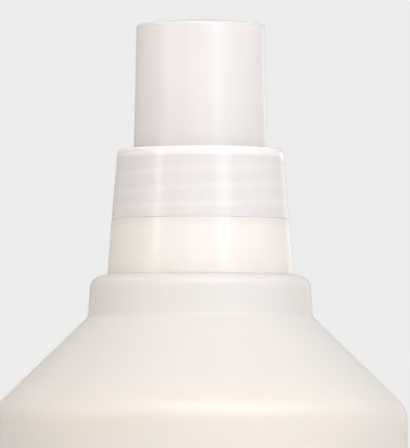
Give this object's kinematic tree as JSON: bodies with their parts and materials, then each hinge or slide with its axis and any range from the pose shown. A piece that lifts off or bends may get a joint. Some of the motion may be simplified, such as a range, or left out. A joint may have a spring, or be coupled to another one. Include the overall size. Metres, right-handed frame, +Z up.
{
  "type": "laundry detergent bottle",
  "caption": "Round translucent bottle with a sloping shoulder, a neck bead, a snapped-on drain-back pour spout and a screw-on dosing cup that doubles as its closure.",
  "frame": {"origin": "centre of the base, on the plane that the bottle stands on", "axes": "+Z up along the bottle's axis, -Y towards the front; the spout pours towards -X and drains back at +X"},
  "size_m": [0.1, 0.1, 0.2257],
  "materials": {
    "natural_hdpe": "blow-moulded natural polyethylene, milky and translucent, satin",
    "natural_pp_spout": "injection-moulded natural polypropylene, milky and translucent",
    "natural_pp_cap": "injection-moulded natural polypropylene, milky and translucent, polished",
    "detergent_liquid": "cream coloured opaque liquid"
  },
  "bodies": {
    "bottle_body": {"bottle": "natural_hdpe", "pour_spout": "natural_pp_spout", "detergent": "detergent_liquid"},
    "cap": {"dosing_cap": "natural_pp_cap"}
  },
  "joints": [
    {"name": "cap_lift", "type": "slide", "parent": "bottle_body", "child": "cap", "axis": [0, 0, 1], "range_m": [0, 0.06]}
  ]
}
